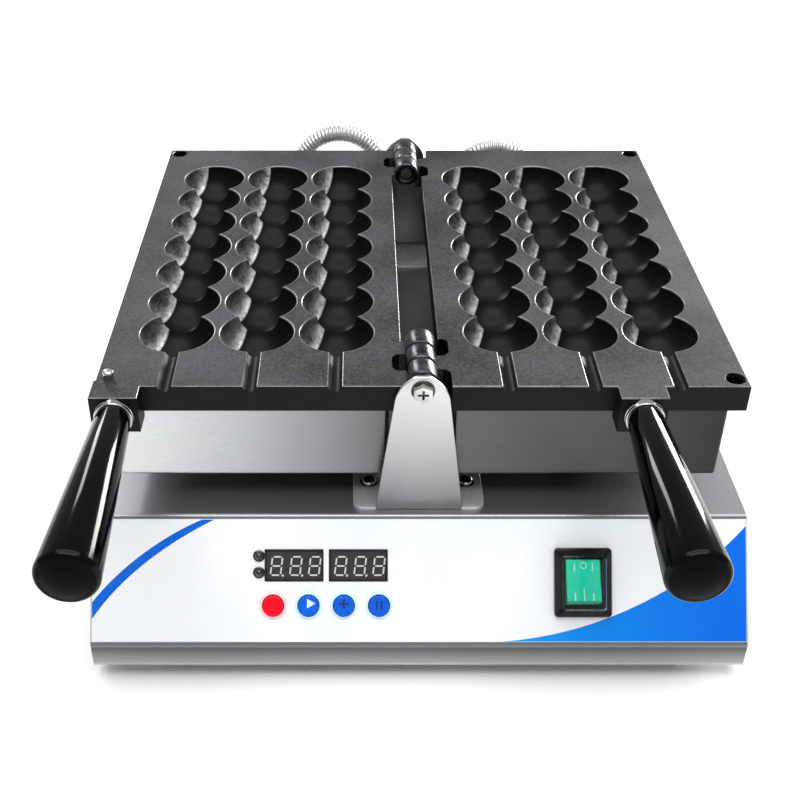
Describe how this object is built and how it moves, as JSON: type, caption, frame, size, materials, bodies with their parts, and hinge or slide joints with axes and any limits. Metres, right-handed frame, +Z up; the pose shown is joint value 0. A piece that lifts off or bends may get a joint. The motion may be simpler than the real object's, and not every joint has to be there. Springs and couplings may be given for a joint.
{
  "type": "waffle stick maker",
  "caption": "Countertop waffle stick maker: a heated base with a sloped control panel and hinged baking plates with ball-shaped channels, tapered handles and ribbed hoses.",
  "frame": {"origin": "on the table, under the middle of the machine's overall box, with the hoses left out", "axes": "+X to the right, +Y from the handles to the rear, +Z up; the hinge line runs along Y over X = 0"},
  "size_m": [0.322, 0.432, 0.1535],
  "materials": {
    "stainless_sheet": "fine brushed",
    "bright_steel": "plated",
    "plated_fitting": "zinc plated",
    "hose_metal": "bright corrugated",
    "coated_casting": "non-stick coated, fine grain",
    "dark_steel": "dark oiled",
    "heater_sheath": "oxidised",
    "ceramic_fibre": "felted",
    "black_phenolic": "gloss",
    "white_overlay": "gloss",
    "black_display": "gloss",
    "dark_lamp": "gloss",
    "black_nylon": "satin",
    "green_lens": "gloss",
    "clear_cover": "clear",
    "black_rubber": "matt",
    "grey_silicone": "matt",
    "board_green": "satin",
    "natural_nylon": "satin",
    "relay_case": "satin",
    "red_key": "gloss",
    "blue_key": "gloss"
  },
  "bodies": {
    "base": {"base_shell": "stainless_sheet", "board_standoffs": "natural_nylon", "bottom_plate": "stainless_sheet", "bottom_screws": "bright_steel", "bracket_nuts": "bright_steel", "bracket_screws": "bright_steel", "button_bezels": "white_overlay", "control_board": "board_green", "control_overlay": "white_overlay", "deck_glands": "plated_fitting", "display_modules": "black_display", "earth_stud": "bright_steel", "feet": "black_rubber", "foot_screws": "bright_steel", "front_hinge_bracket": "stainless_sheet", "front_hinge_pin": "bright_steel", "left_hose": "hose_metal", "mains_gland": "black_nylon", "pivot_washers": "bright_steel", "plate_rests": "stainless_sheet", "power_relays": "relay_case", "rear_hinge_bracket": "stainless_sheet", "rear_hinge_pin": "bright_steel", "rest_pads": "grey_silicone", "right_hose": "hose_metal", "status_leds": "dark_lamp", "switch_body": "black_nylon", "switch_cover": "clear_cover", "tact_switches": "black_nylon", "terminal_block": "black_nylon"},
    "left_plate": {"left_grill_plate": "coated_casting", "left_hinge_lugs": "dark_steel", "left_plate_screws": "bright_steel", "left_heater_casing": "stainless_sheet", "left_heater": "heater_sheath", "left_heater_clamp": "stainless_sheet", "left_insulation": "ceramic_fibre", "left_probe": "bright_steel", "left_hose_elbow": "plated_fitting", "left_handle": "black_phenolic", "left_ferrule": "bright_steel", "left_handle_stud": "bright_steel", "locating_pin": "bright_steel"},
    "right_plate": {"right_grill_plate": "coated_casting", "right_hinge_lugs": "dark_steel", "right_plate_screws": "bright_steel", "right_heater_casing": "stainless_sheet", "right_heater": "heater_sheath", "right_heater_clamp": "stainless_sheet", "right_insulation": "ceramic_fibre", "right_probe": "bright_steel", "right_hose_elbow": "plated_fitting", "right_handle": "black_phenolic", "right_ferrule": "bright_steel", "right_handle_stud": "bright_steel"},
    "rocker": {"power_rocker": "green_lens"},
    "red_button": {"red_button": "red_key"},
    "start_button": {"start_button": "blue_key"},
    "add_button": {"add_button": "blue_key"},
    "blue_button": {"blue_button": "blue_key"}
  },
  "joints": [
    {"name": "left_plate_hinge", "type": "hinge", "parent": "base", "child": "left_plate", "pos_m": [0, 0.03875, 0.145], "axis": [0, 1, 0], "range_deg": [0, 180], "deforming": ["left_hose"]},
    {"name": "right_plate_hinge", "type": "hinge", "parent": "base", "child": "right_plate", "pos_m": [0, 0.03875, 0.145], "axis": [0, -1, 0], "range_deg": [0, 180], "deforming": ["right_hose"]},
    {"name": "power_rocker_tilt", "type": "hinge", "parent": "base", "child": "rocker", "pos_m": [0.079, -0.12289, 0.04802], "axis": [1, 0, 0], "range_deg": [0, 24]},
    {"name": "red_button_press", "type": "slide", "parent": "base", "child": "red_button", "axis": [0, 0.8051, -0.5931], "range_m": [0, 0.001], "stiffness_N_per_m": 400},
    {"name": "start_button_press", "type": "slide", "parent": "base", "child": "start_button", "axis": [0, 0.8051, -0.5931], "range_m": [0, 0.001], "stiffness_N_per_m": 400},
    {"name": "add_button_press", "type": "slide", "parent": "base", "child": "add_button", "axis": [0, 0.8051, -0.5931], "range_m": [0, 0.001], "stiffness_N_per_m": 400},
    {"name": "blue_button_press", "type": "slide", "parent": "base", "child": "blue_button", "axis": [0, 0.8051, -0.5931], "range_m": [0, 0.001], "stiffness_N_per_m": 400}
  ]
}
